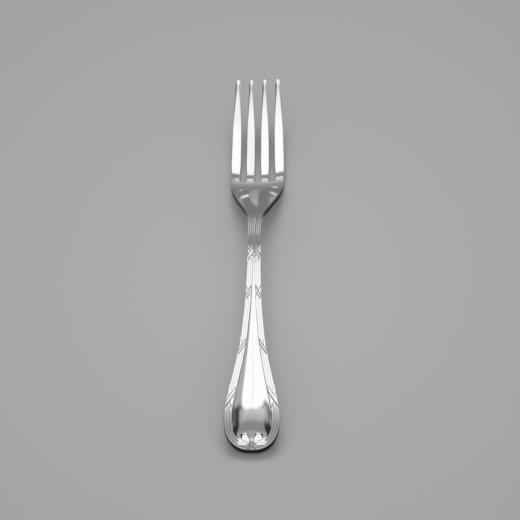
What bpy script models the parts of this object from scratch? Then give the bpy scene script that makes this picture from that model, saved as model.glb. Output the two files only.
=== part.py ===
"""Child's table fork of polished metal: reeded handle and neck, dished head and four tines.

Units are metres. The fork lies along Y with its tines towards +Y and its hollow face up, and rests at Z = 0
on the underside of the handle's end and on the roots of the tines. Lengths along the fork are counted from
the handle's end, and heights in a section are counted from the fork's middle surface, square to it.
"""

import math

import bmesh
import bpy
import numpy as np

MM = 0.001

# Lengths along the fork
LENGTH = 150 * MM
END_CENTRE = 9.5 * MM
HANDLE_LENGTH = 50 * MM
WAIST = 72 * MM
NECK_END = 89 * MM
SLOT_ROOT = 109.3 * MM
PIECE_GAP = 0.3 * MM

# Side view: length along the fork in mm against the rise of the middle surface in degrees
SLOPES = ((0, 26), (8, 21), (16, 10.5), (28, 5.9), (45, 3.5), (60, 2.2), (72, 1), (80, -2.6), (86, -11.5),
          (91, -22), (96, -25.5), (101, -23.5), (105.5, -18.5), (108.3, -13), (111.5, 0), (113.5, 5), (118, 9.5),
          (130, 17.3), (150, 23.5))
BELLY = 111.3 * MM
BELLY_FLAT_DEPTH = 0.33 * MM

# Plan and thickness: length along the fork against half width and against thickness, all in mm
HALF_WIDTHS = ((9.5, 9.22), (12, 9.1), (15.5, 8.5), (22, 7.1), (30, 5.4), (37, 4.2), (44, 3.5), (51, 2.9),
               (60, 2.55), (72, 2.35), (81, 2.45), (85, 2.65), (88, 3.02), (91, 3.95), (94, 5.25), (98, 7.05),
               (102, 8.65), (105.5, 9.45), (108.5, 9.72), (112, 9.75))
THICKNESSES = ((0, 2.6), (10, 2.6), (45, 2.6), (80, 3), (95, 2.4), (110, 1.9), (135, 1.6), (150, 1.1))
END_SQUARENESS = 2.4
RIM_WIDTH = 0.35 * MM

# Ornament on the upper face: a border of round reeds beside a domed panel
REED_COUNT = 3
REED_RISE = 0.12 * MM
BORDER_AT_NECK = 2.02 * MM
BORDER_AT_END = 2.8 * MM
PANEL_CROWN = 0.2
GROOVE_DEPTH = 0.06 * MM

# The dished head bows upwards from the axis to the edges
EDGE_BOW = 1 * MM

# Tines: distance of the centre from the fork's axis at the root and at the tip, and width at the root
TINES = {"inner": (2.62 * MM, 2.44 * MM, 3.12 * MM), "outer": (7.97 * MM, 7.33 * MM, 3.5 * MM)}
TINE_TAPER = ((0, 1), (0.2, 0.99), (0.45, 0.94), (0.7, 0.79), (0.88, 0.62), (1, 0.5))
TINE_SQUARENESS = 3.2
TIP_ROUND = 0.7 * MM
TIP_SHARES = ((2 / 3, 0.8), (1, 0.45))  # share of the rounding's length, and of the section left there

# Mesh steps
SIDE_STEPS = 18
ARC_STEPS = 16
NECK_STEPS = 18
HEAD_STEPS = 14
REED_STEPS = 4
PANEL_STEPS = 5
RIM_STEPS = 4
UNDER_STEPS = 6
UNDER_CROWDING = 1.5  # the underside's steps crowd towards the edge, where the end rests on the table
SLOT_STEPS = 3
TINE_STEPS = 15
TINE_SIDES = 14
MERGE = 0.0003 * MM
SHARP_ANGLE = math.radians(40)


def follow(stations, at):
    """Value at one length, or at an array of them, of the smooth curve through the stations."""
    where, value = np.array(stations, float).T
    tangent = np.gradient(value, where)
    left = np.clip(np.searchsorted(where, at) - 1, 0, len(where) - 2)
    span = where[left + 1] - where[left]
    t = np.clip((at - where[left]) / span, 0, 1)
    ends = value[left] * (1 + 2 * t) * (1 - t) ** 2 + value[left + 1] * t * t * (3 - 2 * t)
    return ends + span * (tangent[left] * t * (1 - t) ** 2 - tangent[left + 1] * t * t * (1 - t))


def ease(share):
    """Smooth step from 0 to 1."""
    share = np.clip(share, 0, 1)
    return share * share * (3 - 2 * share)


def slope(along):
    return np.radians(follow(SLOPES, along / MM))


def half_width(along):
    return follow(HALF_WIDTHS, along / MM) * MM


def thickness(along):
    return follow(THICKNESSES, along / MM) * MM


# The middle surface's height, summed from its slope and set so that the belly is worn flat on the table
LENGTHS = np.linspace(0, LENGTH, 1501)
RISES = np.tan(slope(LENGTHS))
HEIGHTS = np.concatenate([[0], np.cumsum((RISES[1:] + RISES[:-1]) / 2 * np.diff(LENGTHS))])
HEIGHTS += thickness(BELLY) / 2 - BELLY_FLAT_DEPTH - np.interp(BELLY, LENGTHS, HEIGHTS)


def bow(across, along):
    """Lift of the dished head away from the fork's axis, greatest at the slots and gone at the tips."""
    share = ease((along - NECK_END) / (SLOT_ROOT - NECK_END)) * ease((LENGTH - along) / (LENGTH - SLOT_ROOT))
    return EDGE_BOW * share * (across / half_width(SLOT_ROOT)) ** 2


def place(across, along, face, relief=0):
    """Point on the upper face (1), the underside (-1) or between them, no lower than the table."""
    tilt = slope(along)
    height = face * thickness(along) / 2 + relief + bow(across, along)
    up = np.interp(along, LENGTHS, HEIGHTS) + height * math.cos(tilt)
    return across, along - height * math.sin(tilt) - LENGTH / 2, max(up, 0)


def border_width(reach):
    """Width of the reeded border where the fork is this wide from its axis to its edge."""
    narrow = half_width(WAIST)
    share = (reach - narrow) / (half_width(END_CENTRE) - narrow)
    return BORDER_AT_NECK + (BORDER_AT_END - BORDER_AT_NECK) * ease(share)


def rim():
    """Rounded edge from the upper face to the underside: distance from the edge, and face."""
    turns = [math.pi * k / RIM_STEPS for k in range(RIM_STEPS + 1)]
    return [(RIM_WIDTH * (1 - math.sin(turn)), math.cos(turn)) for turn in turns]


def reeded_section(reach, middle):
    """Half section from the axis over the panel, the reeds and the rim, and back along the underside.

    Each point is its distance from the edge, its face and its relief. The section is reach long, and the
    fork's half width where it meets the axis is middle.
    """
    border = border_width(middle)
    crown = PANEL_CROWN * (middle - border) + GROOVE_DEPTH
    points = []
    for k in range(PANEL_STEPS):
        out = k / PANEL_STEPS
        points.append((reach - out * (reach - border), 1, crown * (1 - out * out) - GROOVE_DEPTH))
    reeds = REED_COUNT * REED_STEPS
    for k in range(reeds):
        swell = math.sin(math.pi * (k % REED_STEPS) / REED_STEPS)
        points.append((border - (border - RIM_WIDTH) * k / reeds, 1, REED_RISE * swell))
    points += [(inward, face, 0) for inward, face in rim()]
    for k in range(1, UNDER_STEPS + 1):
        share = (k / UNDER_STEPS) ** UNDER_CROWDING
        points.append((RIM_WIDTH + (reach - RIM_WIDTH) * share, -1, 0))
    return points


def reeded_rows(edge_and_axis):
    """One row of points for each pair of an edge point and the axis point that its section runs to."""
    rows = []
    for (edge_x, edge_s), axis_s in edge_and_axis:
        reach = math.hypot(edge_x, edge_s - axis_s)
        row = []
        for inward, face, relief in reeded_section(reach, half_width(axis_s)):
            keep = 1 - inward / reach
            row.append(place(edge_x * keep, axis_s + (edge_s - axis_s) * keep, face, relief))
        rows.append(row)
    return rows


def handle_rows():
    """Sections down one side of the handle and then, fanwise, round its end to the axis."""
    pairs = []
    for along in np.linspace(HANDLE_LENGTH, END_CENTRE, SIDE_STEPS, endpoint=False):
        pairs.append(((half_width(along), along), along))
    widest = half_width(END_CENTRE)
    power = 2 / END_SQUARENESS
    for turn in np.linspace(0, math.pi / 2, ARC_STEPS + 1):
        across = widest * max(math.cos(turn), 0) ** power
        pairs.append(((across, END_CENTRE * (1 - math.sin(turn) ** power)), END_CENTRE))
    pairs[-1] = ((0, 0), END_CENTRE)
    return reeded_rows(pairs)


def neck_rows():
    lengths = np.linspace(HANDLE_LENGTH + PIECE_GAP, NECK_END, NECK_STEPS + 1)
    return reeded_rows([((half_width(along), along), along) for along in lengths])


def head_columns():
    """Columns across half the head at its front: distance from the axis, and length to the front edge."""
    inner, _, inner_width = TINES["inner"]
    outer, _, outer_width = TINES["outer"]
    middle_radius = inner - inner_width / 2
    side_radius = (outer - outer_width / 2 - inner - inner_width / 2) / 2
    side_centre = inner + inner_width / 2 + side_radius
    front = SLOT_ROOT + side_radius
    columns = []
    for centre, radius, first, tine in (
        (0, middle_radius, 0, inner),
        (side_centre, side_radius, -SLOT_STEPS, outer),
    ):
        for k in range(first, SLOT_STEPS + 1):
            turn = math.pi / 2 * k / SLOT_STEPS
            columns.append((centre + radius * math.sin(turn), front - radius * math.cos(turn)))
        columns.append((tine, front))
    columns.append((half_width(front) - RIM_WIDTH, front))
    return columns, front


def head_rows():
    """Sections from the neck to the scalloped front between the tines' roots."""
    columns, front = head_columns()
    start = NECK_END + PIECE_GAP
    outermost = half_width(front) - RIM_WIDTH
    rows = []
    for share in np.linspace(0, 1, HEAD_STEPS + 1):
        upper = []
        under = []
        for across, ahead in columns:
            along = start + (ahead - start) * share
            wide = across / outermost * (half_width(along) - RIM_WIDTH)
            upper.append(place(wide, along, 1))
            under.append(place(wide, along, -1))
        along = start + (front - start) * share
        edge = [place(half_width(along) - inward, along, face) for inward, face in rim()]
        rows.append(upper + edge[1:-1] + under[::-1])
    return rows


def tine_rows(kind, side):
    """Rounded rectangular sections from the root to the tip of one tine."""
    root_x, tip_x, root_width = TINES[kind]
    start = head_columns()[1] + PIECE_GAP
    power = 2 / TINE_SQUARENESS
    rings = [(along, 1) for along in np.linspace(start, LENGTH - TIP_ROUND, TINE_STEPS)]
    rings += [(LENGTH - TIP_ROUND * (1 - share), cap) for share, cap in TIP_SHARES]
    rows = []
    for along, cap in rings:
        share = (along - start) / (LENGTH - start)
        centre = side * (root_x + (tip_x - root_x) * share)
        half_wide = root_width / 2 * follow(TINE_TAPER, share) * cap
        row = []
        for k in range(TINE_SIDES):
            turn = 2 * math.pi * (k + 0.5) / TINE_SIDES
            out = math.copysign(abs(math.cos(turn)) ** power, math.cos(turn))
            up = math.copysign(abs(math.sin(turn)) ** power, math.sin(turn))
            row.append(place(centre + half_wide * out, along, cap * up))
        rows.append(row)
    return rows


def grid_through(rows, closed):
    """Mesh grid with one vertex at each point of the rows, joined round where the sections are closed."""
    bm = bmesh.new()
    steps = len(rows) - 1
    sides = len(rows[0]) - (0 if closed else 1)
    bmesh.ops.create_grid(bm, x_segments=steps, y_segments=sides, size=0.5)
    table = [[None] * (sides + 1) for _ in rows]
    for vert in bm.verts:
        i = round((vert.co.x + 0.5) * steps)
        j = round((vert.co.y + 0.5) * sides)
        vert.co = rows[i][j % len(rows[i])]
        table[i][j] = vert
    return bm, table


def finish_object(name, bm, collection, parent, mirrored):
    """Object with outward faces, a Mirror where only half is modelled, and its own metal."""
    bmesh.ops.remove_doubles(bm, verts=bm.verts, dist=MERGE)
    bmesh.ops.dissolve_degenerate(bm, edges=bm.edges, dist=MERGE)
    bmesh.ops.recalc_face_normals(bm, faces=bm.faces)
    mesh = bpy.data.meshes.new(name)
    bm.to_mesh(mesh)
    bm.free()
    mesh.shade_smooth()
    mesh.set_sharp_from_angle(angle=SHARP_ANGLE)
    mesh.materials.append(polished_metal(name))
    made = bpy.data.objects.new(name, mesh)
    made.parent = parent
    collection.objects.link(made)
    if mirrored:
        mirror = made.modifiers.new("other_half", "MIRROR")
        mirror.use_axis[0] = True
        mirror.merge_threshold = MERGE


def polished_metal(name):
    material = bpy.data.materials.new(name + "_metal")
    material.use_nodes = True
    shader = material.node_tree.nodes["Principled BSDF"]
    shader.inputs["Base Color"].default_value = (0.80, 0.80, 0.79, 1)
    shader.inputs["Metallic"].default_value = 1
    shader.inputs["Roughness"].default_value = 0.1
    return material


def add_handle(collection, parent):
    bm, table = grid_through(handle_rows(), closed=False)
    bm.faces.new(table[0])
    finish_object("handle", bm, collection, parent, mirrored=True)


def add_neck(collection, parent):
    bm, table = grid_through(neck_rows(), closed=False)
    bm.faces.new(table[0])
    bm.faces.new(table[-1])
    finish_object("neck", bm, collection, parent, mirrored=True)


def add_head(collection, parent):
    bm, table = grid_through(head_rows(), closed=False)
    bm.faces.new(table[0])
    front = table[-1]
    last = len(front) - 1
    for k in range(last // 2):
        corners = [front[k], front[k + 1], front[last - k - 1], front[last - k]]
        bm.faces.new(list(dict.fromkeys(corners)))
    finish_object("head", bm, collection, parent, mirrored=True)


def add_tines(collection, parent):
    for side, side_name in ((-1, "left"), (1, "right")):
        for kind in TINES:
            bm, table = grid_through(tine_rows(kind, side), closed=True)
            bm.faces.new(table[0][:-1])
            bm.faces.new(table[-1][:-1])
            finish_object(f"tine_{side_name}_{kind}", bm, collection, parent, mirrored=False)


def main():
    for old in list(bpy.data.objects):
        bpy.data.objects.remove(old)
    collection = bpy.data.collections.new("baby_fork")
    bpy.context.scene.collection.children.link(collection)
    origin = bpy.data.objects.new("baby_fork_origin", None)
    collection.objects.link(origin)
    add_handle(collection, origin)
    add_neck(collection, origin)
    add_head(collection, origin)
    add_tines(collection, origin)


main()
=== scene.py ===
"""Child's table fork of polished metal on a pale floor, dressed over its CAD frame.

Lengths are in millimetres until a mesh or an object is made. Along the fork they are counted from the handle's
end, and across it from its axis. Half the fork is modelled as two sheets, upper and under, that share one
plan and meet along the edge. It is mirrored, then cut into the pieces that stand for the CAD nodes.
"""

import math

import bmesh
import bpy
import numpy as np
from mathutils import Matrix, Vector
from mathutils.geometry import delaunay_2d_cdt


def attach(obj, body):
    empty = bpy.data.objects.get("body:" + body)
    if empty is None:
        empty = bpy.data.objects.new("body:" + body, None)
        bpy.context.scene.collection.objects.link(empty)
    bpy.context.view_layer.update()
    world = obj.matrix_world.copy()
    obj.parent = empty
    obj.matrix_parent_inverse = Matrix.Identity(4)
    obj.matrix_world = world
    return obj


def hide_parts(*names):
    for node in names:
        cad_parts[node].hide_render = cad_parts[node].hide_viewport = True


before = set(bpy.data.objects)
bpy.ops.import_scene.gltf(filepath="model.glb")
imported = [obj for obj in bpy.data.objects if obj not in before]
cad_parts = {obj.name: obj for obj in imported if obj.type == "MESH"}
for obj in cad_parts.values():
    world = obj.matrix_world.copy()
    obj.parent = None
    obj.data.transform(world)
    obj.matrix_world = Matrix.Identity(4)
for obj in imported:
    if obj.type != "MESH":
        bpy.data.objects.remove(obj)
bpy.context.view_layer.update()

MM = 0.001

# Lengths along the fork
LENGTH = 150
END_CENTRE = 9.5
HANDLE_LENGTH = 50
WAIST = 72
NECK_END = 89
PALM_START = 94
SLOT_ROOT = 109.3

# Side view: length along the fork against the rise of the middle surface in degrees
SLOPES = ((0, 26), (8, 21), (16, 10.6), (28, 6.2), (45, 3.85), (60, 2.5), (72, 0.4), (80, -4.2), (86, -11.5),
          (91, -22), (96, -25.5), (101, -23.5), (105.5, -18.5), (108.3, -13), (111.5, 0), (113.5, 5), (118, 9.5),
          (130, 17.3), (150, 23.5))
BELLY = 111.3
BELLY_FLAT_DEPTH = 0.33

# Plan and thickness: length along the fork against half width and against thickness
HALF_WIDTHS = ((9.5, 9.22), (12, 9.1), (15.5, 8.5), (22, 7.1), (30, 5.4), (37, 4.2), (44, 3.5), (51, 2.9),
               (60, 2.55), (72, 2.35), (81, 2.45), (85, 2.65), (88, 3.02), (91, 3.95), (94, 5.25), (98, 7.05),
               (102, 8.65), (105.5, 9.45), (108.5, 9.72), (112, 9.75))
THICKNESSES = ((0, 2.6), (10, 2.6), (45, 2.6), (80, 3), (95, 2.4), (110, 1.9), (135, 1.6), (150, 1.1))
END_SQUARENESS = 2.4
EDGE_BOW = 1.0

# Edges: how far the rounding reaches in from the edge on the upper face and on the underside, and how high the
# edge lies between the two, from -1 to 1. The rim is the ornamented edge, the other one is the head's
RIM_WIDTH = 0.15
RIM_UNDER = 1.2
RIM_LIFT = 0.75
RIM_FADE = 0.3
EDGE_ROUND = 0.5
TINE_ROUND = 0.15
ROUND_FADE = 0.2
EDGE_UNDER = 0.6
EDGE_LIFT = -0.6
EDGE_FROM = 84
BAND_WIDTH = 0.8
ROUND_POWER = 2.2
END_UPRIGHT = 1.5

# Painted shade: width of the dark strip along the head's edges, which stands in for the dark reflection of the
# shadowed floor in their walls, and round the handle's end, where it stands in for the contact shadow; how
# quickly both set in and how sharply the one at the end stops, and where the painted shade in the hollow begins
# and ends
EDGE_SHADE_WIDTH = 0.35
EDGE_ONSET = 2.5
END_SHADE_WIDTH = 0.9
END_ONSET = 2
END_SHARPNESS = 1.6
WALL_SHARPNESS = 2
HOLLOW_FROM = 76
HOLLOW_TO = 107.3
HOLLOW_FADES = (5, 4)

# How much shade is painted into the hollow, into the ornament's valleys and onto the tines toward their tips, and
# by what share the valleys' painted shade is taken back at the handle's end, from 0 to 1
HOLLOW_SHADE = 0.3
VALLEY_SHADE = 0.3
TIP_SHADE = 0.16
END_VALLEY_SHADE_CUT = 0.8

# Reeded border and domed panel
REED_COUNT = 3
REED_SWELL = 0.085
REED_FULLNESS = 2
BORDER_AT_NECK = 2.02
BORDER_AT_END = 2.8
PANEL_CROWN = 0.2
GROOVE_DEPTH = 0.06
GROOVE_WIDTH = 0.25
GROOVE_FROM = 0.6
# Relief height below which shade is painted into the reeds' valleys, darkest at their bottom
VALLEY_SHADE_HEIGHT = 0.045
REEDS_END = 86.9
REEDS_ARCH = 0.7
REEDS_FADE = 0.9
UNDER_GROOVE = 0.08

# Crossed ribbons over the border, and the bow at the handle's end. A loop of the bow has its root, its tip, half
# its width, its rise and where its crest lies, from -1 to 1 across it
TIES = (16.8, 34.4, 54.8, 70.7)
TIE_STRETCH = 1.15
RIBBON_SHARE = 0.22
OVER_RISE = 0.13
UNDER_RISE = 0.06
RIBBON_FOOT = 0.04
RIBBON_CLEARANCE = 0.3
RIBBON_TUCK = 0.25
TIE_MARGIN = 1
EDGE_BULGE = 0.14
BULGE_SPREAD = 1.6
BOW_KNOT = 2.8
BOW_LOOPS = (((0.2, 3), (3.5, 5), 1.25, 0.37, 0.85), ((0.3, 2.75), (5, 2.75), 0.85, 0.32, 0))
BOW_FOOT = 0.05
LOOP_SKEW = 1.4
LOOP_CLOSED = 1e-6
BOW_LEGS = ((0, 2.7), (1.25, 0.7))
LEG_HALF_WIDTH = 0.45
KNOT_RADIUS = 0.75
KNOT_RISE = 0.5

# Tines: distance of the centre from the axis at the root and at the tip, and width at the root. The taper is
# the share of the length from root to tip against the share of the width
TINES = {"inner": (2.62, 2.44, 3.12), "outer": (7.97, 7.33, 3.5)}
TINE_TAPER = ((0, 1), (0.2, 0.98), (0.45, 0.93), (0.6, 0.88), (0.74, 0.78), (0.81, 0.69), (0.88, 0.58),
              (0.94, 0.49), (1, 0.45))

# Tips: length of the rounded end and how it closes, how full, soft and raised the edge becomes and from which
# share of the tine on, and over which length and by what share the upper face falls
TIP_ROUND = 2.1
TIP_POWER = 2
TIP_FULLNESS = 0.95
TIP_SOFTER = 0.8
TIP_FROM = 0.45
TIP_LIFT = 0.5
TIP_BEND = 3.2
TIP_FALL = 0.8

# Mesh steps
PROFILE_SAMPLES = 1501
ARC_SAMPLES = 2001
FINE_STEP = 0.15
FINE_MARGIN = 0.4
COARSE_STEP = 0.5
ARC_FINE = 0.13
BOW_ARC = 6.5
SHOULDER_STEP = 0.357
PANEL_STEPS = 36
REED_STEPS = 10
RIM_STEPS = 8
INNER_STEPS = 50
SLOT_STEPS = 14
STRIP_STEPS = 8
TINE_STEP = 0.45
TIP_STEPS = 8
PALM_STEP = 0.4
MERGE = 0.0003
TINY = 1e-9
INSIDE_ONLY = 1
SNAP = 1e-6
SECTIONS = ("handle", "neck", "head", "tine_inner", "tine_outer")

# Studio dome, which only the polished metal mirrors. Each card is laid over those before it. It has its range
# over the top from the far horizon, its range to the sides, the radius of its corners and how softly its edge
# fades, all in degrees, and its brightness
DOME_RADIUS = 1.5
DOME_RISES = (-3, 183)
DOME_SIDES = (-87, 87)
DOME_STEP = 0.5
DOME_BASE = 0.03
CARDS = {
    "ceiling": ((88, 131), (-31, 25), 0, 6, 0.28),
    "near_mid": ((128, 149), (-31, 26), 0, 6, 0.4),
    "near_wall": ((143, 175), (-35, 35), 0, 5, 1.05),
    "right_wall": ((90, 114), (40, 85), 0, 8, 0.45),
    "left_wall": ((95, 130), (-88, -60), 0, 6, 0.5),
    "left_dim": ((82, 112), (-62, -38), 0, 5, 0.12),
    "ceiling_edge": ((80, 101), (-25, 32), 0, 24, 0.66),
    "left_fringe": ((40, 80), (-46, -10), 0, 12, 0.48),
    "right_panel": ((40, 76), (20, 66), 0, 6, 1.12),
    "softbox": ((30, 90), (-27, 6), 14, 5, 1.16),
    "softbox_round": ((30, 90), (-20, 31), 28, 5, 1.16),
    "softbox_seam": ((30, 84), (-3, 3), 3, 6, 1.06),
    "far_gap": ((-10, 56.5), (-90, 90), 0, 5, 0.28),
    "right_low": ((38, 60), (31, 50), 0, 6, 1.12),
    "far_right": ((11, 30), (-3, 40), 0, 10, 0.3),
    "far_step_1": ((18, 45.5), (-32, 9), 0, 5, 0.33),
    "far_step_2": ((22, 45.5), (-32, 9), 0, 5, 0.43),
    "far_step_3": ((26, 45.5), (-30, 9), 0, 5, 0.53),
    "far_step_4": ((31, 45.5), (-28, 9), 0, 5, 0.64),
    "far_step_5": ((36, 45.5), (-26, 9), 0, 5, 0.78),
    "glint_1": ((3.6, 5), (-1.6, -0.6), 0, 0.6, 2.6),
    "glint_2": ((10.6, 12.2), (1.8, 2.3), 0, 0.6, 1.6),
    "glint_3": ((13.6, 14.8), (-10.2, -9), 0, 0.6, 2),
    "glint_4": ((4.6, 7.6), (-7.2, -6.6), 0, 0.5, 2),
}

# Metal: its colour when bright, at half and at full painted shade, where half lies on the way, what the polishing
# lines add to that, the roughness that the haze varies between, and what the painted-shade mask adds to it
BRIGHT = (0.9, 0.897, 0.89, 1)
LINES_AND_HALF_SHADE = (0.46, 0.457, 0.45, 1)
FULL_PAINTED_SHADE = (0.012, 0.012, 0.012, 1)
HALF_SHADE_AT = 0.55
LINE_DULLNESS = 0.13
ROUGHNESSES = (0.035, 0.085)
SHADE_ROUGHNESS = 0.08
HAZE_SCALE = 120
HAZE_RANGE = (0.3, 0.75)
LINE_SCALE = (9000, 700, 9000)
LINE_RELIEF = 0.03
LINE_DEPTH = 0.00005

# Floor, in metres: its size, how far it lies below the fork, and the pool of light painted on it: its palest
# spot, how far from there it darkens, and its grey far out and at that spot
FLOOR_SIZE = 6
FLOOR_DROP = 0.00005
LIGHT_POOL_CENTRE = (0.003, -0.019, 0)
LIGHT_POOL_REACH = 0.4
FLOOR_GREYS = (0.37, 0.65)

# Light on the floor: grey all round, and a soft lamp behind the fork, which the metal doesn't mirror
WORLD_GREY = 0.45
KEY_POWER = 21
KEY_SIZE = (1.52, 0.85)
KEY_PLACE = (0, 1.84, 1.54)

# Camera, as the photograph was taken: angles in degrees, focal length in pixels of the 520-pixel frame
CAMERA_AZIMUTH = 5.21
CAMERA_ELEVATION = 55
CAMERA_ROLL = -5.23
CAMERA_DISTANCE = 550
CAMERA_TARGET = (1.66, -2.34, 5)
FOCAL_PIXELS = 1584
FRAME_PIXELS = 520
SENSOR_WIDTH = 36
CLIP_START = 0.01


def follow(stations, at):
    """Value at one length, or at an array of them, of the smooth curve through the stations."""
    where, value = np.array(stations, float).T
    tangent = np.gradient(value, where)
    left = np.clip(np.searchsorted(where, at) - 1, 0, len(where) - 2)
    span = where[left + 1] - where[left]
    t = np.clip((at - where[left]) / span, 0, 1)
    ends = value[left] * (1 + 2 * t) * (1 - t) ** 2 + value[left + 1] * t * t * (3 - 2 * t)
    return ends + span * (tangent[left] * t * (1 - t) ** 2 - tangent[left + 1] * t * t * (1 - t))


def ease(share):
    """Smooth step from 0 to 1."""
    share = np.clip(share, 0, 1)
    return share * share * (3 - 2 * share)


def slope(along):
    return np.radians(follow(SLOPES, along))


def half_width(along):
    return follow(HALF_WIDTHS, along)


def thickness(along):
    return follow(THICKNESSES, along)


# The middle surface's height, summed from its slope and set so that the belly is worn flat on the table
LENGTHS = np.linspace(0, LENGTH, PROFILE_SAMPLES)
RISES = np.tan(slope(LENGTHS))
HEIGHTS = np.concatenate([[0], np.cumsum((RISES[1:] + RISES[:-1]) / 2 * np.diff(LENGTHS))])
HEIGHTS += thickness(BELLY) / 2 - BELLY_FLAT_DEPTH - np.interp(BELLY, LENGTHS, HEIGHTS)


def bow(across, along):
    """Lift of the dished head away from the fork's axis, greatest at the slots and gone at the tips."""
    share = ease((along - NECK_END) / (SLOT_ROOT - NECK_END)) * ease((LENGTH - along) / (LENGTH - SLOT_ROOT))
    return EDGE_BOW * share * (across / half_width(SLOT_ROOT)) ** 2


def place(across, along, face, relief=0):
    """Points on the upper face (1), the underside (-1) or between them, no lower than the table."""
    tilt = slope(along)
    height = face * thickness(along) / 2 + relief + bow(across, along)
    up = np.interp(along, LENGTHS, HEIGHTS) + height * np.cos(tilt)
    return np.stack([across, along - height * np.sin(tilt) - LENGTH / 2, np.maximum(up, 0)], axis=-1)


def border_width(reach):
    """Width of the reeded border where the fork is this wide from its axis to its edge."""
    narrow = half_width(WAIST)
    share = (reach - narrow) / (half_width(END_CENTRE) - narrow)
    return BORDER_AT_NECK + (BORDER_AT_END - BORDER_AT_NECK) * ease(share)


def rounded(inward, radius, fullness=ROUND_POWER):
    """Rise from 0 at the edge to 1 where the rounding ends, a distance inward; it starts upright if full."""
    return (1 - (1 - np.clip(inward / radius, 0, 1)) ** ROUND_POWER) ** (1 / fullness)


def edge_shade(inward):
    """Strip of painted shade along an edge, 1 at the edge itself."""
    return ease(1 - inward / EDGE_SHADE_WIDTH)


def hollow_shade(along):
    """Painted shade in the hollow from the neck to the roots of the tines."""
    fade_in, fade_out = HOLLOW_FADES
    return HOLLOW_SHADE * ease((along - HOLLOW_FROM) / fade_in) * ease((HOLLOW_TO - along) / fade_out)


def tie_border(tie):
    return border_width(half_width(tie))


def bulge(along):
    """How far the ribbons stand out from the edge where they pass over it."""
    out = np.zeros_like(along)
    for tie in TIES:
        reach = TIE_STRETCH * tie_border(tie)
        wide = BULGE_SPREAD * RIBBON_SHARE * tie_border(tie)
        for side in (-1, 1):
            out += EDGE_BULGE * np.exp(-(((along - tie - side * reach) / wide) ** 2))
    return out


class Patch:
    """One grid of the plan: its points, where both faces lie there, and what ornament and painted shade add to
    them.
    """

    def __init__(self, across, along, inward, edge, section):
        upper_round, under_round, lift, fullness = edge
        self.across = across
        self.along = along
        self.upper_face = lift + (1 - lift) * rounded(inward, upper_round, fullness)
        self.under_face = lift - (1 + lift) * rounded(inward, under_round)
        self.upper = np.zeros_like(across)
        self.under = np.zeros_like(across)
        self.painted_shade = np.zeros_like(across)
        self.under_along = along
        self.under_painted_shade = np.zeros_like(across)
        self.section = section


def crowded(start, end):
    """Lengths from start to end, close together across each tie."""
    lengths = [start]
    while lengths[-1] < end:
        here = lengths[-1]
        near = any(abs(here - tie) < TIE_STRETCH * tie_border(tie) + FINE_MARGIN for tie in TIES)
        lengths.append(here + (FINE_STEP if near else COARSE_STEP))
    lengths = np.array(lengths)
    return start + (lengths - start) * (end - start) / (lengths[-1] - start)


def reeded_columns(reach, border):
    """Distances in from the edge of the columns across half a section, from the axis to the edge."""
    panel = reach - (reach - border) * np.sin(np.linspace(0, math.pi / 2, PANEL_STEPS, endpoint=False))
    reeds = border - (border - RIM_WIDTH) * np.linspace(0, 1, REED_COUNT * REED_STEPS, endpoint=False)
    turn = np.linspace(0, math.pi / 2, RIM_STEPS + 1)
    return np.concatenate([panel, reeds, RIM_WIDTH * (1 - np.sin(turn))])


COLUMNS = PANEL_STEPS + REED_COUNT * REED_STEPS + RIM_STEPS + 1
BAND_STEPS = COLUMNS - 1 - INNER_STEPS
BAND = BAND_WIDTH * (1 - np.sin(np.linspace(0, math.pi / 2, BAND_STEPS + 1)))
RIM = np.array([RIM_WIDTH, RIM_UNDER, RIM_LIFT, ROUND_POWER])
EDGE = np.array([EDGE_ROUND, EDGE_UNDER, EDGE_LIFT, ROUND_POWER])


def palm_columns(reach):
    """The same columns where the palm begins: a smooth middle, and a band that rounds over to the edge."""
    middle = reach - (reach - BAND_WIDTH) * np.linspace(0, 1, INNER_STEPS, endpoint=False)
    return np.concatenate([middle, BAND])


def reeds(inward, border):
    """Round reeds side by side, with sharp valleys between them."""
    wide = (border - RIM_WIDTH) / REED_COUNT
    share = np.clip((border - inward) / wide, 0, REED_COUNT) % 1
    return REED_SWELL * wide * (1 - np.abs(2 * share - 1) ** REED_FULLNESS)


def panel(inward, reach, border, middle):
    """Domed panel inside the border, with a groove round it."""
    out = np.clip((reach - inward) / (reach - border), 0, 1)
    depth = GROOVE_DEPTH * ease((middle - border) / GROOVE_FROM - 1)
    groove = depth * np.clip(1 - (inward - border) / GROOVE_WIDTH, 0, 1)
    return PANEL_CROWN * (middle - border) * (1 - out**2) - groove


def round_back(distance, half_wide):
    """Rounded back of a ribbon, 1 on its middle line and 0 at its edges."""
    return np.clip(1 - (distance / half_wide) ** 2, 0, 1)


def clear_of(distance, half_wide):
    """0 on a ribbon, rising to 1 a little way from its edges."""
    return ease((np.abs(distance) - half_wide) / RIBBON_CLEARANCE)


def tied(relief, along, inward, border):
    """Border relief with two crossed ribbons laid over it at each tie."""
    for tie in TIES:
        wide = tie_border(tie)
        half_wide = RIBBON_SHARE * wide
        lean = 1 / (2 * TIE_STRETCH)
        steep = math.hypot(1, lean)
        across = inward - border / 2
        over = (across - lean * (along - tie)) / steep
        under = (across + lean * (along - tie)) / steep
        on_border = ease((border - inward) / RIBBON_TUCK)
        near = np.abs(along - tie) < TIE_STRETCH * wide + TIE_MARGIN
        under_back = (RIBBON_FOOT + UNDER_RISE * round_back(under, half_wide)) * (np.abs(under) < half_wide)
        under_back *= clear_of(over, half_wide)
        over_back = (RIBBON_FOOT + OVER_RISE * round_back(over, half_wide)) * (np.abs(over) < half_wide)
        laid = relief * clear_of(over, half_wide) * clear_of(under, half_wide)
        laid = np.maximum(laid, on_border * np.maximum(under_back, over_back))
        relief = np.where(near & (inward < border - TINY), laid, relief)
    return relief


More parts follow.
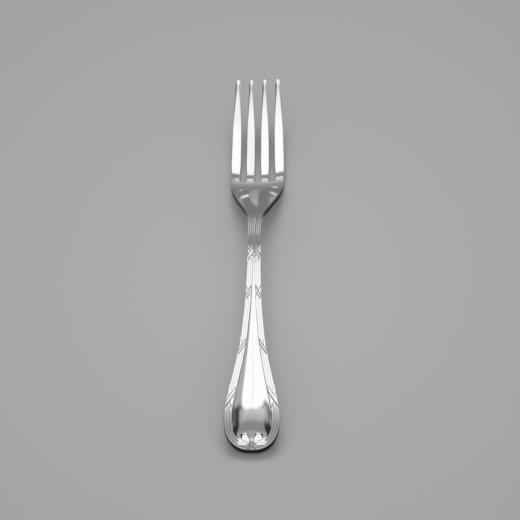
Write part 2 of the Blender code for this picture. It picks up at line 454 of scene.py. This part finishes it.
def leaf(across, along, root, tip, half_wide, crest):
    """Height from 0 to 1 of a loop that widens from its root, closes at its tip and is highest at its crest."""
    span = np.subtract(tip, root)
    length = math.hypot(*span)
    run = np.clip(((across - root[0]) * span[0] + (along - root[1]) * span[1]) / length**2, 0, 1)
    side = ((across - root[0]) * span[1] - (along - root[1]) * span[0]) / length
    open_wide = np.sin(math.pi * run**LOOP_SKEW) + LOOP_CLOSED
    out = np.clip(side / (half_wide * open_wide), -1, 1)
    return np.sqrt(open_wide) * np.minimum((1 - out) / (1 + crest), (1 + out) / (1 - crest))


def bowed(relief, across, along):
    """Relief at the handle's end with the bow laid over it."""
    base = np.maximum(relief, BOW_FOOT)
    for root, tip, half_wide, rise, crest in BOW_LOOPS[::-1]:
        height = leaf(across, along, root, tip, half_wide, crest)
        relief = np.where(height > 0, np.maximum(relief, base + rise * height), relief)
    (root_x, root_s), (foot_x, foot_s) = BOW_LEGS
    run = (foot_x - root_x, foot_s - root_s)
    length = math.hypot(*run)
    side = ((across - root_x) * run[1] - (along - root_s) * run[0]) / length
    on_leg = (along < root_s) & (np.abs(side) < LEG_HALF_WIDTH)
    leg = RIBBON_FOOT + OVER_RISE * round_back(side, LEG_HALF_WIDTH)
    relief = np.where(on_leg, np.maximum(relief, leg), relief)
    knot = np.clip(1 - (across**2 + (along - BOW_KNOT) ** 2) / KNOT_RADIUS**2, 0, 1)
    return np.where(knot > 0, np.maximum(relief, KNOT_RISE * knot), relief)


def valley_shade_of(relief, inward, border):
    """How much shade is painted on a point of the ornament, from 0 on the crests to its most in the valleys."""
    on_border = ease((border + GROOVE_WIDTH - inward) / GROOVE_WIDTH) * ease(inward / RIM_FADE)
    return VALLEY_SHADE * np.clip(1 - relief / VALLEY_SHADE_HEIGHT, 0, 1) * on_border


def under_grooves(inward, border):
    """Shallow grooves that follow the border on the plain underside."""
    wide = (border - RIM_WIDTH) / REED_COUNT
    depth = np.zeros_like(inward)
    for k in range(REED_COUNT):
        depth += 1 - ease(np.abs(inward - border + k * wide) / GROOVE_WIDTH)
    return UNDER_GROOVE * depth


def dress(patch, inward, reach, border, middle):
    """Add panel, reeds, ribbons and bow to a patch of the handle or neck."""
    relief = np.where(inward < border - TINY, reeds(inward, border), panel(inward, reach, border, middle))
    relief = tied(relief, patch.along, inward, border)
    relief = bowed(relief, patch.across, patch.along)
    ends = REEDS_END + REEDS_ARCH * (1 - (patch.across / half_width(REEDS_END)) ** 2)
    fade = ease((ends - patch.along) / REEDS_FADE)
    patch.upper = relief * fade * ease(inward / RIM_FADE)
    # Painted shade in the ornament's valleys and, on the underside, in its grooves
    patch.painted_shade = valley_shade_of(relief, inward, border) * fade
    patch.under = under_grooves(inward, border) * fade
    patch.under_painted_shade = VALLEY_SHADE * patch.under / UNDER_GROOVE


def side_patches():
    """The handle's side, the neck and the short run on to the palm."""
    patches = []
    for section, start, end in (("handle", END_CENTRE, HANDLE_LENGTH), ("neck", HANDLE_LENGTH, NECK_END),
                                ("head", NECK_END, PALM_START)):
        lengths = crowded(start, end)
        reach = half_width(lengths)
        border = border_width(reach)
        share = ease((lengths - NECK_END) / (PALM_START - NECK_END))
        rows = []
        for k, (far, wide) in enumerate(zip(reach, border)):
            rows.append((1 - share[k]) * reeded_columns(far, wide) + share[k] * palm_columns(far))
        inward = np.array(rows)
        swell = bulge(lengths)[:, None] * ease(1 - inward / border[:, None])
        across = reach[:, None] - inward + swell
        along = np.repeat(lengths[:, None], COLUMNS, axis=1)
        turned = ease((lengths - EDGE_FROM) / (PALM_START - EDGE_FROM))
        edge = RIM[:, None, None] + (EDGE - RIM)[:, None, None] * turned[None, :, None]
        patch = Patch(across, along, inward, edge, section)
        dress(patch, inward, reach[:, None], border[:, None], reach[:, None])
        # Painted shade on both sheets along the edges where they turn into the head's, for the walls' dark
        # reflection of the shadowed floor
        wall = ease(EDGE_ONSET * turned)[:, None] * edge_shade(inward)
        patch.painted_shade = np.maximum(patch.painted_shade, wall)
        patch.under_painted_shade = np.maximum(patch.under_painted_shade, wall)
        patches.append(patch)
    return patches


def end_patch():
    """The handle's end: sections fanned out round a point on the axis."""
    widest = half_width(END_CENTRE)
    power = 2 / END_SQUARENESS
    turns = np.linspace(0, math.pi / 2, ARC_SAMPLES)
    edge_x = widest * np.clip(np.cos(turns), 0, 1) ** power
    edge_s = END_CENTRE * (1 - np.sin(turns) ** power)
    run = np.concatenate([[0], np.cumsum(np.hypot(np.diff(edge_x), np.diff(edge_s)))])
    stops = [0]
    while stops[-1] < run[-1]:
        stops.append(stops[-1] + (COARSE_STEP if stops[-1] < run[-1] - BOW_ARC else ARC_FINE))
    stops = np.array(stops) * run[-1] / stops[-1]
    edge_x = np.interp(stops, run, edge_x)
    edge_s = np.interp(stops, run, edge_s)
    reach = np.hypot(edge_x, edge_s - END_CENTRE)
    border = border_width(widest)
    inward = np.array([reeded_columns(far, border) for far in reach])
    keep = 1 - inward / reach[:, None]
    across = edge_x[:, None] * keep
    along = END_CENTRE + (edge_s - END_CENTRE)[:, None] * keep
    patch = Patch(across, along, inward, RIM, "handle")
    dress(patch, inward, reach[:, None], border, widest)
    front = ease(1 - along / END_CENTRE)
    upright = (RIM_LIFT - patch.under_face) * thickness(along) / 2 * np.sin(slope(along))
    patch.under_along = along - upright * front * ease(END_UPRIGHT - inward / RIM_UNDER)
    # Painted shadow round the end: a dark strip at the upper edge and a black wall below it stand in for the
    # contact shadow under the end, and most of the valleys' painted shade is taken back here
    dark = ease(END_ONSET * front)
    strip = dark * ease(END_SHARPNESS * (1 - inward / (END_SHADE_WIDTH * front + TINY)))
    wall = dark * ease(WALL_SHARPNESS * (1 - inward / RIM_UNDER))
    patch.painted_shade = np.maximum(patch.painted_shade * (1 - END_VALLEY_SHADE_CUT * dark), strip)
    patch.under_painted_shade = np.maximum(patch.under_painted_shade, wall)
    return patch


def slot_facts():
    """Centre, radius and front of the middle slot and of the side slot."""
    inner, _, inner_width = TINES["inner"]
    outer, _, outer_width = TINES["outer"]
    middle_radius = inner - inner_width / 2
    side_radius = (outer - outer_width / 2 - inner - inner_width / 2) / 2
    return (0, middle_radius), (inner + inner_width / 2 + side_radius, side_radius), SLOT_ROOT + side_radius


def band_patch(edge_x, edge_s, out_x, out_s):
    """Band of the head along an edge, given with its outward direction."""
    across = edge_x[:, None] - out_x[:, None] * BAND
    along = edge_s[:, None] - out_s[:, None] * BAND
    inward = np.repeat(BAND[None, :], len(edge_x), axis=0)
    return Patch(across, along, inward, EDGE, "head")


def head_bands():
    """Bands along the shoulder, round the side slot and round the middle slot."""
    middle, side, front = slot_facts()
    lengths = np.linspace(PALM_START, front, round((front - PALM_START) / SHOULDER_STEP))
    shoulder = band_patch(half_width(lengths), lengths, np.ones_like(lengths), np.zeros_like(lengths))
    # Painted shade along the shoulder's edge, for the wall's dark reflection of the shadowed floor
    shoulder.painted_shade += edge_shade(BAND)
    bands = [shoulder]
    for (centre, radius), first in ((side, -SLOT_STEPS), (middle, 0)):
        turns = math.pi / 2 * np.arange(first, SLOT_STEPS + 1) / SLOT_STEPS
        edge_x = centre + radius * np.sin(turns)
        edge_s = front - radius * np.cos(turns)
        bands.append(band_patch(edge_x, edge_s, -np.sin(turns), np.cos(turns)))
    return bands


def inside(points, ring):
    """Which points lie inside a closed ring."""
    hits = np.zeros(len(points), bool)
    for a, b in zip(ring, np.roll(ring, -1, axis=0)):
        between = (a[1] > points[:, 1]) != (b[1] > points[:, 1])
        run = (points[:, 1] - a[1]) / (b[1] - a[1] if b[1] != a[1] else 1)
        hits ^= between & (points[:, 0] < a[0] + run * (b[0] - a[0]))
    return hits


def palm_mesh(bands):
    """Plan of the smooth palm between the bands: points and triangles."""
    shoulder, side, middle = [np.column_stack([band.across[:, 0], band.along[:, 0]]) for band in bands]
    front = slot_facts()[2]
    start_x = half_width(PALM_START) - palm_columns(half_width(PALM_START))[: INNER_STEPS + 1]
    first = np.column_stack([start_x, np.full(INNER_STEPS + 1, PALM_START)])
    outer_strip = np.column_stack([np.linspace(shoulder[-1, 0], side[-1, 0], STRIP_STEPS + 1),
                                   np.full(STRIP_STEPS + 1, front)])
    inner_strip = np.column_stack([np.linspace(side[0, 0], middle[-1, 0], STRIP_STEPS + 1),
                                   np.full(STRIP_STEPS + 1, front)])
    axis_steps = round((middle[0, 1] - PALM_START) / PALM_STEP)
    axis = np.column_stack([np.zeros(axis_steps + 1), np.linspace(middle[0, 1], PALM_START, axis_steps + 1)])
    ring = np.concatenate([first[:-1], shoulder[:-1], outer_strip[:-1], side[::-1][:-1], inner_strip[:-1],
                           middle[::-1][:-1], axis[:-1]])
    grid_x = np.arange(PALM_STEP / 2, half_width(SLOT_ROOT), PALM_STEP)
    grid_s = np.arange(PALM_START + PALM_STEP / 2, front, PALM_STEP)
    grid = np.array([(x + PALM_STEP / 2 * (k % 2), s) for k, s in enumerate(grid_s) for x in grid_x])
    grid = grid[inside(grid, ring)]
    gaps = np.hypot(grid[:, None, 0] - ring[None, :, 0], grid[:, None, 1] - ring[None, :, 1]).min(axis=1)
    points = np.concatenate([ring, grid[gaps > PALM_STEP / 2]])
    made = delaunay_2d_cdt([Vector(p) for p in points], [], [list(range(len(ring)))], INSIDE_ONLY, SNAP)
    return np.array([tuple(v) for v in made[0]]), [tuple(f) for f in made[2]]


def tine_patch(kind, root):
    """One tine, from its row of columns at the root to its tip."""
    _, tip_x, _ = TINES[kind]
    front = slot_facts()[2]
    centre = (root[0] + root[-1]) / 2
    half_wide = (root[-1] - root[0]) / 2
    shares = (root - centre) / half_wide
    round_start = LENGTH - TIP_ROUND
    straight = np.linspace(front, round_start, round((round_start - front) / TINE_STEP))
    tip = round_start + TIP_ROUND * np.sin(np.linspace(0, math.pi / 2, TIP_STEPS + 1))[1:]
    lengths = np.concatenate([straight, tip])
    cap = (1 - np.clip((lengths - round_start) / TIP_ROUND, 0, 1) ** TIP_POWER) ** (1 / TIP_POWER)
    run = (lengths - front) / (LENGTH - front)
    middle = centre + (tip_x - centre) * run
    wide = half_wide * follow(TINE_TAPER, run) * cap
    across = middle[:, None] + wide[:, None] * shares
    along = np.repeat(lengths[:, None], len(shares), axis=1)
    inward = (wide + TINY)[:, None] * (1 - np.abs(shares))
    largest = (TIP_FULLNESS * wide + TINY)[:, None]
    rooted = ease(1 - run / ROUND_FADE)[:, None]
    tipped = ease((run - TIP_FROM) / (1 - TIP_FROM))[:, None]
    growing = TINE_ROUND + (EDGE_ROUND - TINE_ROUND) * rooted + TIP_SOFTER * tipped
    lift = EDGE_LIFT + (TIP_LIFT - EDGE_LIFT) * tipped
    fullness = ROUND_POWER + (1 - ROUND_POWER) * tipped
    edge = np.minimum(growing, largest), np.minimum(EDGE_UNDER, largest), lift, fullness
    patch = Patch(across, along, inward, edge, "tine_" + kind)
    fall = np.clip((lengths - LENGTH + TIP_BEND) / TIP_BEND, 0, 1)[:, None] ** 2
    # Painted shade on the tines toward their tips, fading out before the rounded ends so that these stay bright
    patch.painted_shade = TIP_SHADE * tipped * (1 - fall) + np.zeros_like(across)
    if kind == "outer":
        # Painted shade along the outer tine's outer edge at its root, carrying on the shoulder's
        patch.painted_shade += edge_shade(inward) * (shares > 0) * rooted
    patch.upper_face = (patch.upper_face - TIP_FALL * (patch.upper_face - lift) * fall) * cap[:, None]
    patch.under_face = patch.under_face * cap[:, None]
    return patch


def tine_patches(bands):
    """Both tines of the right half, started from the head's front."""
    shoulder, side, middle = bands
    rows = {
        "inner": (middle.across[-1, ::-1], side.across[0]),
        "outer": (side.across[-1, ::-1], shoulder.across[-1]),
    }
    patches = []
    for kind, (left, right) in rows.items():
        strip = np.linspace(left[-1], right[0], STRIP_STEPS + 1)[1:-1]
        patches.append(tine_patch(kind, np.concatenate([left, strip, right])))
    return patches


def grid_faces(rows, columns):
    """Corner numbers of the quads of a grid of points."""
    faces = []
    for i in range(rows - 1):
        for j in range(columns - 1):
            a = i * columns + j
            faces.append((a, a + 1, a + columns + 1, a + columns))
    return faces


class Shell:
    """Vertices and faces of the fork, gathered patch by patch."""

    def __init__(self):
        self.points = []
        self.faces = []
        self.sections = []
        self.painted_shade = []
        self.count = 0

    def add(self, points, faces, section, painted_shade, flip):
        start = self.count
        self.points.append(points)
        self.painted_shade.append(painted_shade)
        self.count += len(points)
        for face in faces:
            corners = [start + k for k in face]
            self.faces.append(corners[::-1] if flip else corners)
            self.sections.append(section)

    def add_sheets(self, patch):
        """Upper and under sheet of a patch."""
        faces = grid_faces(*patch.across.shape)
        section = SECTIONS.index(patch.section)
        upper = place(patch.across, patch.along, patch.upper_face, patch.upper)
        under = place(patch.across, patch.under_along, patch.under_face, patch.under)
        # Painted shade of the patch, with the painted shade of the hollow added
        painted_shade = patch.painted_shade + hollow_shade(patch.along)
        self.add(upper.reshape(-1, 3), faces, section, painted_shade.reshape(-1), False)
        self.add(under.reshape(-1, 3), faces, section, patch.under_painted_shade.reshape(-1), True)


def whole_fork():
    """The whole fork as one mesh, with a section number on each face and how much shade is painted at each
    vertex.
    """
    shell = Shell()
    bands = head_bands()
    for patch in [end_patch(), *side_patches(), *bands, *tine_patches(bands)]:
        shell.add_sheets(patch)
    plan, triangles = palm_mesh(bands)
    across, along = plan.T
    for side, painted_shade in ((1, hollow_shade(along)), (-1, np.zeros(len(plan)))):
        shell.add(place(across, along, side), triangles, SECTIONS.index("head"), painted_shade, side < 0)
    mesh = bpy.data.meshes.new("whole_fork")
    mesh.from_pydata((np.concatenate(shell.points) * MM).tolist(), [], shell.faces)
    mesh.attributes.new("section", "INT", "FACE").data.foreach_set("value", shell.sections)
    mesh.attributes.new("painted_shade", "FLOAT", "POINT").data.foreach_set("value", np.concatenate(shell.painted_shade))
    bm = bmesh.new()
    bm.from_mesh(mesh)
    bpy.data.meshes.remove(mesh)
    bmesh.ops.remove_doubles(bm, verts=bm.verts, dist=MERGE * MM)
    bmesh.ops.dissolve_degenerate(bm, edges=bm.edges, dist=MERGE * MM)
    bmesh.ops.mirror(bm, geom=bm.verts[:] + bm.edges[:] + bm.faces[:], axis="X", merge_dist=MERGE * MM)
    bmesh.ops.recalc_face_normals(bm, faces=bm.faces)
    bm.normal_update()
    return bm


def cut_piece(bm, name, wanted):
    """Closed mesh of the wanted faces, shaded as in the whole fork so that no joint shows."""
    verts = list({vert: None for face in wanted for vert in face.verts})
    numbers = {vert: k for k, vert in enumerate(verts)}
    layer = bm.verts.layers.float["painted_shade"]
    normals = [tuple(vert.normal) for vert in verts]
    painted_shade = [vert[layer] for vert in verts]
    mesh = bpy.data.meshes.new(name)
    mesh.from_pydata([vert.co for vert in verts], [], [[numbers[v] for v in face.verts] for face in wanted])
    piece = bmesh.new()
    piece.from_mesh(mesh)
    open_edges = [edge for edge in piece.edges if len(edge.link_faces) == 1]
    bmesh.ops.holes_fill(piece, edges=open_edges, sides=0)
    piece.to_mesh(mesh)
    piece.free()
    mesh.shade_smooth()
    skin = len(wanted)
    shading = []
    for polygon in mesh.polygons:
        for corner in polygon.vertices:
            shading.append(normals[corner] if polygon.index < skin else tuple(polygon.normal))
    mesh.normals_split_custom_set(shading)
    mesh.attributes.new("painted_shade", "FLOAT", "POINT").data.foreach_set("value", painted_shade)
    return mesh


def node_of(face, layer):
    """CAD node that a face belongs to."""
    section = SECTIONS[face[layer]]
    if not section.startswith("tine"):
        return section
    side = "left" if face.calc_center_median().x < 0 else "right"
    return section.replace("tine", "tine_" + side)


def polished_metal():
    """Bright metal with fine polishing lines, a little handling haze, and shade painted into its colour where the
    mask says, which is also rougher.
    """
    material = bpy.data.materials.new("polished_metal")
    material.use_nodes = True
    nodes = material.node_tree.nodes
    link = material.node_tree.links.new
    shader = nodes["Principled BSDF"]
    shader.inputs["Metallic"].default_value = 1

    place_at = nodes.new("ShaderNodeTexCoord")
    painted_shade = nodes.new("ShaderNodeAttribute")
    painted_shade.attribute_name = "painted_shade"

    haze = nodes.new("ShaderNodeTexNoise")
    haze.inputs["Scale"].default_value = HAZE_SCALE
    haze.inputs["Detail"].default_value = 6
    link(place_at.outputs["Object"], haze.inputs["Vector"])

    stretch = nodes.new("ShaderNodeMapping")
    stretch.inputs["Scale"].default_value = LINE_SCALE
    link(place_at.outputs["Object"], stretch.inputs["Vector"])
    lines = nodes.new("ShaderNodeTexNoise")
    lines.inputs["Scale"].default_value = 1
    lines.inputs["Detail"].default_value = 3
    link(stretch.outputs["Vector"], lines.inputs["Vector"])

    lines_and_shade = nodes.new("ShaderNodeMath")
    lines_and_shade.operation = "MULTIPLY_ADD"
    lines_and_shade.inputs[1].default_value = LINE_DULLNESS
    link(lines.outputs["Fac"], lines_and_shade.inputs[0])
    link(painted_shade.outputs["Fac"], lines_and_shade.inputs[2])
    # Colour goes from bright metal through half to full painted shade as the polishing lines and the
    # painted-shade mask add up
    colour = nodes.new("ShaderNodeValToRGB")
    colour.color_ramp.elements[0].color = BRIGHT
    colour.color_ramp.elements[1].color = FULL_PAINTED_SHADE
    colour.color_ramp.elements.new(HALF_SHADE_AT).color = LINES_AND_HALF_SHADE
    link(lines_and_shade.outputs["Value"], colour.inputs["Fac"])
    link(colour.outputs["Color"], shader.inputs["Base Color"])

    rough = nodes.new("ShaderNodeMapRange")
    rough.inputs["From Min"].default_value = HAZE_RANGE[0]
    rough.inputs["From Max"].default_value = HAZE_RANGE[1]
    rough.inputs["To Min"].default_value = ROUGHNESSES[0]
    rough.inputs["To Max"].default_value = ROUGHNESSES[1]
    link(haze.outputs["Fac"], rough.inputs["Value"])
    rough_where_shaded = nodes.new("ShaderNodeMath")
    rough_where_shaded.operation = "MULTIPLY_ADD"
    rough_where_shaded.inputs[1].default_value = SHADE_ROUGHNESS
    link(painted_shade.outputs["Fac"], rough_where_shaded.inputs[0])
    link(rough.outputs["Result"], rough_where_shaded.inputs[2])
    link(rough_where_shaded.outputs["Value"], shader.inputs["Roughness"])

    bump = nodes.new("ShaderNodeBump")
    bump.inputs["Strength"].default_value = LINE_RELIEF
    bump.inputs["Distance"].default_value = LINE_DEPTH
    link(lines.outputs["Fac"], bump.inputs["Height"])
    link(bump.outputs["Normal"], shader.inputs["Normal"])
    return material


def floor_material():
    """Matt grey with a painted pool of light: palest at a spot under the fork, darkening gently away from it."""
    material = bpy.data.materials.new("floor")
    material.use_nodes = True
    nodes = material.node_tree.nodes
    link = material.node_tree.links.new
    shader = nodes["Principled BSDF"]
    shader.inputs["Roughness"].default_value = 0.8
    shader.inputs["Specular IOR Level"].default_value = 0

    place_at = nodes.new("ShaderNodeTexCoord")
    spread = nodes.new("ShaderNodeMapping")
    spread.vector_type = "TEXTURE"
    spread.inputs["Location"].default_value = LIGHT_POOL_CENTRE
    spread.inputs["Scale"].default_value = (LIGHT_POOL_REACH, LIGHT_POOL_REACH, LIGHT_POOL_REACH)
    link(place_at.outputs["Object"], spread.inputs["Vector"])
    fall = nodes.new("ShaderNodeTexGradient")
    fall.gradient_type = "SPHERICAL"
    link(spread.outputs["Vector"], fall.inputs["Vector"])
    colour = nodes.new("ShaderNodeValToRGB")
    for element, grey in zip(colour.color_ramp.elements, FLOOR_GREYS):
        element.color = (grey, grey, grey, 1)
    link(fall.outputs["Fac"], colour.inputs["Fac"])
    link(colour.outputs["Color"], shader.inputs["Base Color"])
    return material


def add_fork():
    bm = whole_fork()
    layer = bm.faces.layers.int["section"]
    groups = {}
    for face in bm.faces:
        groups.setdefault(node_of(face, layer), []).append(face)
    metal = polished_metal()
    for node, faces in groups.items():
        mesh = cut_piece(bm, "visual_" + node, faces)
        mesh.materials.append(metal)
        piece = bpy.data.objects.new("visual_" + node, mesh)
        bpy.context.scene.collection.objects.link(piece)
        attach(piece, "root")
        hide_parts(node)
    bm.free()


def add_floor():
    mesh = bpy.data.meshes.new("floor")
    half = FLOOR_SIZE / 2
    mesh.from_pydata([(-half, -half, 0), (half, -half, 0), (half, half, 0), (-half, half, 0)], [], [(0, 1, 2, 3)])
    mesh.materials.append(floor_material())
    floor = bpy.data.objects.new("floor", mesh)
    floor.location.z = -FLOOR_DROP
    bpy.context.scene.collection.objects.link(floor)


def glow_material():
    """Light given off as strongly as each point of the dome says."""
    material = bpy.data.materials.new("studio_glow")
    material.use_nodes = True
    nodes = material.node_tree.nodes
    shader = nodes["Principled BSDF"]
    shader.inputs["Base Color"].default_value = (0, 0, 0, 1)
    shader.inputs["Specular IOR Level"].default_value = 0
    shader.inputs["Emission Color"].default_value = (1, 1, 1, 1)
    glow = nodes.new("ShaderNodeAttribute")
    glow.attribute_name = "glow"
    material.node_tree.links.new(glow.outputs["Fac"], shader.inputs["Emission Strength"])
    return material


def add_dome():
    """Half sphere round the fork, seen only in its reflections."""
    rises = np.arange(DOME_RISES[0], DOME_RISES[1] + DOME_STEP, DOME_STEP)
    sides = np.arange(DOME_SIDES[0], DOME_SIDES[1] + DOME_STEP, DOME_STEP)
    rise, side = np.meshgrid(rises, sides, indexing="ij")
    glow = np.full_like(rise, DOME_BASE)
    for (low, high), (left, right), corner, soft, brightness in CARDS.values():
        past_rise = np.abs(rise - (low + high) / 2) - (high - low) / 2 + corner
        past_side = np.abs(side - (left + right) / 2) - (right - left) / 2 + corner
        past = np.hypot(np.maximum(past_rise, 0), np.maximum(past_side, 0)) - corner
        past += np.minimum(np.maximum(past_rise, past_side), 0)
        glow += (brightness - glow) * ease(0.5 - past / soft)
    rise = np.radians(rise)
    side = np.radians(side)
    points = np.stack([np.sin(side), np.cos(side) * np.cos(rise), np.cos(side) * np.sin(rise)], axis=-1)
    mesh = bpy.data.meshes.new("studio_dome")
    mesh.from_pydata((points.reshape(-1, 3) * DOME_RADIUS).tolist(), [], grid_faces(*rise.shape))
    mesh.attributes.new("glow", "FLOAT", "POINT").data.foreach_set("value", glow.reshape(-1))
    mesh.materials.append(glow_material())
    dome = bpy.data.objects.new("studio_dome", mesh)
    dome.visible_camera = False
    dome.visible_diffuse = False
    dome.visible_shadow = False
    bpy.context.scene.collection.objects.link(dome)


def add_key_lamp():
    """Soft lamp that faces the fork."""
    light = bpy.data.lights.new("key", "AREA")
    light.shape = "RECTANGLE"
    light.size, light.size_y = KEY_SIZE
    light.energy = KEY_POWER
    lamp = bpy.data.objects.new("key", light)
    lamp.visible_glossy = False
    lamp.location = KEY_PLACE
    lamp.rotation_euler = (-Vector(KEY_PLACE)).to_track_quat("-Z", "Y").to_euler()
    bpy.context.scene.collection.objects.link(lamp)


def add_stage():
    add_floor()
    add_key_lamp()
    add_dome()
    world = bpy.data.worlds.new("studio")
    world.use_nodes = True
    world.node_tree.nodes["Background"].inputs["Color"].default_value = (WORLD_GREY, WORLD_GREY, WORLD_GREY, 1)
    bpy.context.scene.world = world
    bpy.context.scene.view_settings.view_transform = "Standard"


def add_camera():
    """Camera at the photograph's viewing angle."""
    azimuth, elevation, roll = (math.radians(a) for a in (CAMERA_AZIMUTH, CAMERA_ELEVATION, CAMERA_ROLL))
    back = Vector((math.sin(azimuth) * math.cos(elevation), -math.cos(azimuth) * math.cos(elevation),
                   math.sin(elevation)))
    right = Vector((math.cos(azimuth), math.sin(azimuth), 0))
    up = back.cross(right)
    turned_right = math.cos(roll) * right + math.sin(roll) * up
    turned_up = back.cross(turned_right)
    lens = bpy.data.cameras.new("camera")
    lens.sensor_width = SENSOR_WIDTH
    lens.lens = FOCAL_PIXELS / FRAME_PIXELS * SENSOR_WIDTH
    lens.clip_start = CLIP_START
    camera = bpy.data.objects.new("camera", lens)
    spot = (Vector(CAMERA_TARGET) + back * CAMERA_DISTANCE) * MM
    camera.matrix_world = Matrix.Translation(spot) @ Matrix((turned_right, turned_up, back)).transposed().to_4x4()
    bpy.context.scene.collection.objects.link(camera)
    bpy.context.scene.camera = camera


add_camera()
add_stage()
add_fork()
